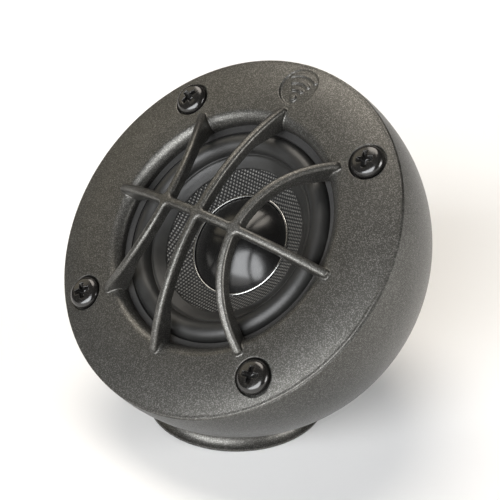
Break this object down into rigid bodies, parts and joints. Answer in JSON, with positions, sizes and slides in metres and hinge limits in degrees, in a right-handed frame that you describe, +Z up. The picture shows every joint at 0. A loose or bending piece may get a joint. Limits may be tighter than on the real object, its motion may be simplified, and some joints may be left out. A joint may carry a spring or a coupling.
{
  "type": "car tweeter",
  "caption": "Small car speaker pod: cone driver behind a domed ball-seam guard in a tilted spherical housing that swivels on a round screw-down foot.",
  "frame": {"origin": "centre of the foot's underside, on the swivel's axis", "axes": "+Z up along the swivel's axis, -Y the way the pod faces at rest, +X to the right for someone looking at the pod's front along +Y"},
  "size_m": [0.0918, 0.0839, 0.0825],
  "materials": {
    "graphite_coat": "satin",
    "pad_rubber": "matte",
    "plated_steel": "satin",
    "nylon": "satin",
    "black_steel": "gloss",
    "gasket_foam": "matte",
    "basket_metal": "satin",
    "surround_rubber": "satin",
    "spider_cloth": "matte",
    "woven_cone": "satin",
    "cap_gloss": "gloss",
    "former_sheet": "satin",
    "coil_wire": "gloss",
    "motor_steel": "satin",
    "magnet_plated": "polished",
    "strip_board": "matte",
    "tab_brass": "satin"
  },
  "bodies": {
    "foot": {"foot_pad": "pad_rubber", "foot": "graphite_coat", "swivel_stem": "plated_steel", "stop_pin": "plated_steel", "lower_washer": "nylon", "upper_washer": "nylon", "spring_washer": "plated_steel", "clamp_nut": "plated_steel", "cable_grommet": "pad_rubber"},
    "pod": {"pod_shell": "graphite_coat", "front_ring": "graphite_coat", "front_screws": "black_steel", "driver_gasket": "gasket_foam", "basket": "basket_metal", "driver_screws": "black_steel", "surround": "surround_rubber", "spider": "spider_cloth", "tinsel_leads": "coil_wire", "steel_cup": "motor_steel", "magnet": "magnet_plated", "pole_plate": "motor_steel", "terminal_strip": "strip_board", "positive_tab": "tab_brass", "negative_tab": "tab_brass", "terminal_rivets": "tab_brass"},
    "diaphragm": {"cone": "woven_cone", "dust_cap": "cap_gloss", "coil_former": "former_sheet", "voice_coil": "coil_wire"}
  },
  "joints": [
    {"name": "pod_swivel", "type": "hinge", "parent": "foot", "child": "pod", "pos_m": [0, 0, 0.0057], "axis": [0, 0, 1], "range_deg": [-90, 90]},
    {"name": "cone_travel", "type": "slide", "parent": "pod", "child": "diaphragm", "axis": [0, -0.7071, 0.7071], "range_m": [-0.002, 0.002], "stiffness_N_per_m": 1000, "deforming": ["surround", "spider", "tinsel_leads"]}
  ]
}
